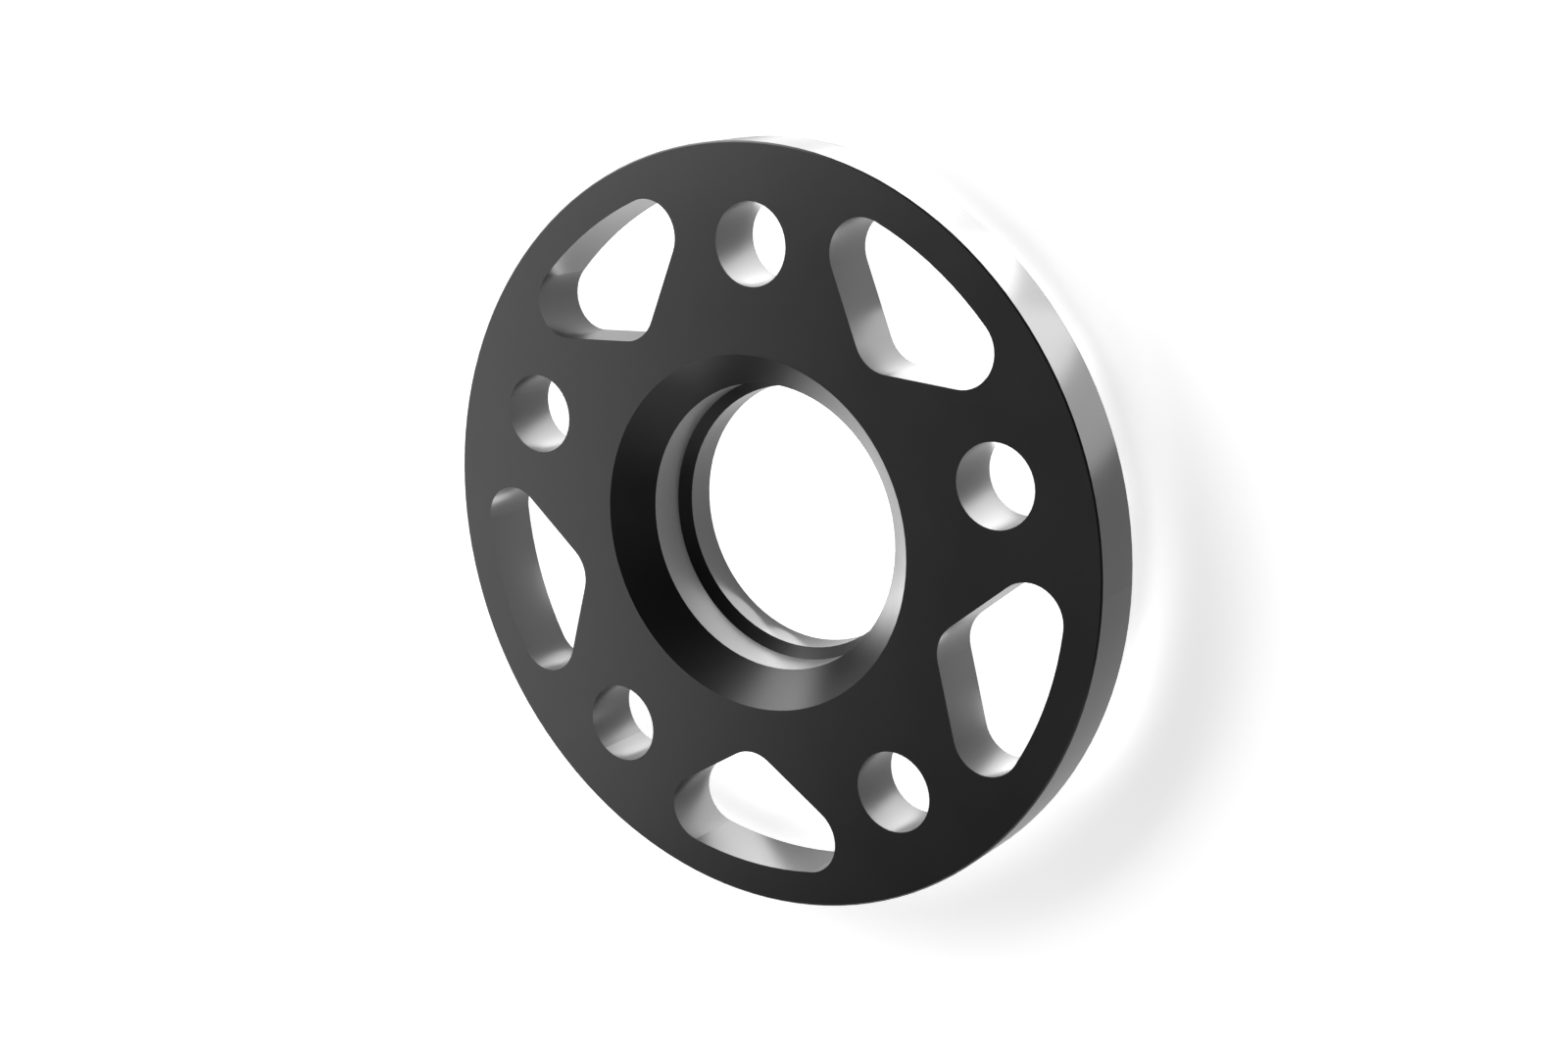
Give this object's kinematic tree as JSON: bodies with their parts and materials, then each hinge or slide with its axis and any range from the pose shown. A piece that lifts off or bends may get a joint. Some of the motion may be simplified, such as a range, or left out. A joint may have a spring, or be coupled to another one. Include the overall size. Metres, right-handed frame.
{
  "type": "wheel spacer",
  "caption": "Round hub-centric wheel spacer: a flat disc with a coned hub bore, a centring lip, a circle of bolt holes and rounded lightening pockets between them.",
  "frame": {"origin": "on the axis, at the end of the lip, which is the lowest point of the spacer as it lies", "axes": "+Z along the axis, out of the hub face; +Y through the centre of one bolt hole"},
  "size_m": [0.15, 0.15, 0.022],
  "materials": {
    "black_anodised_aluminium": "black anodised, satin"
  },
  "bodies": {
    "root": {"wheel_spacer": "black_anodised_aluminium"}
  },
  "joints": []
}
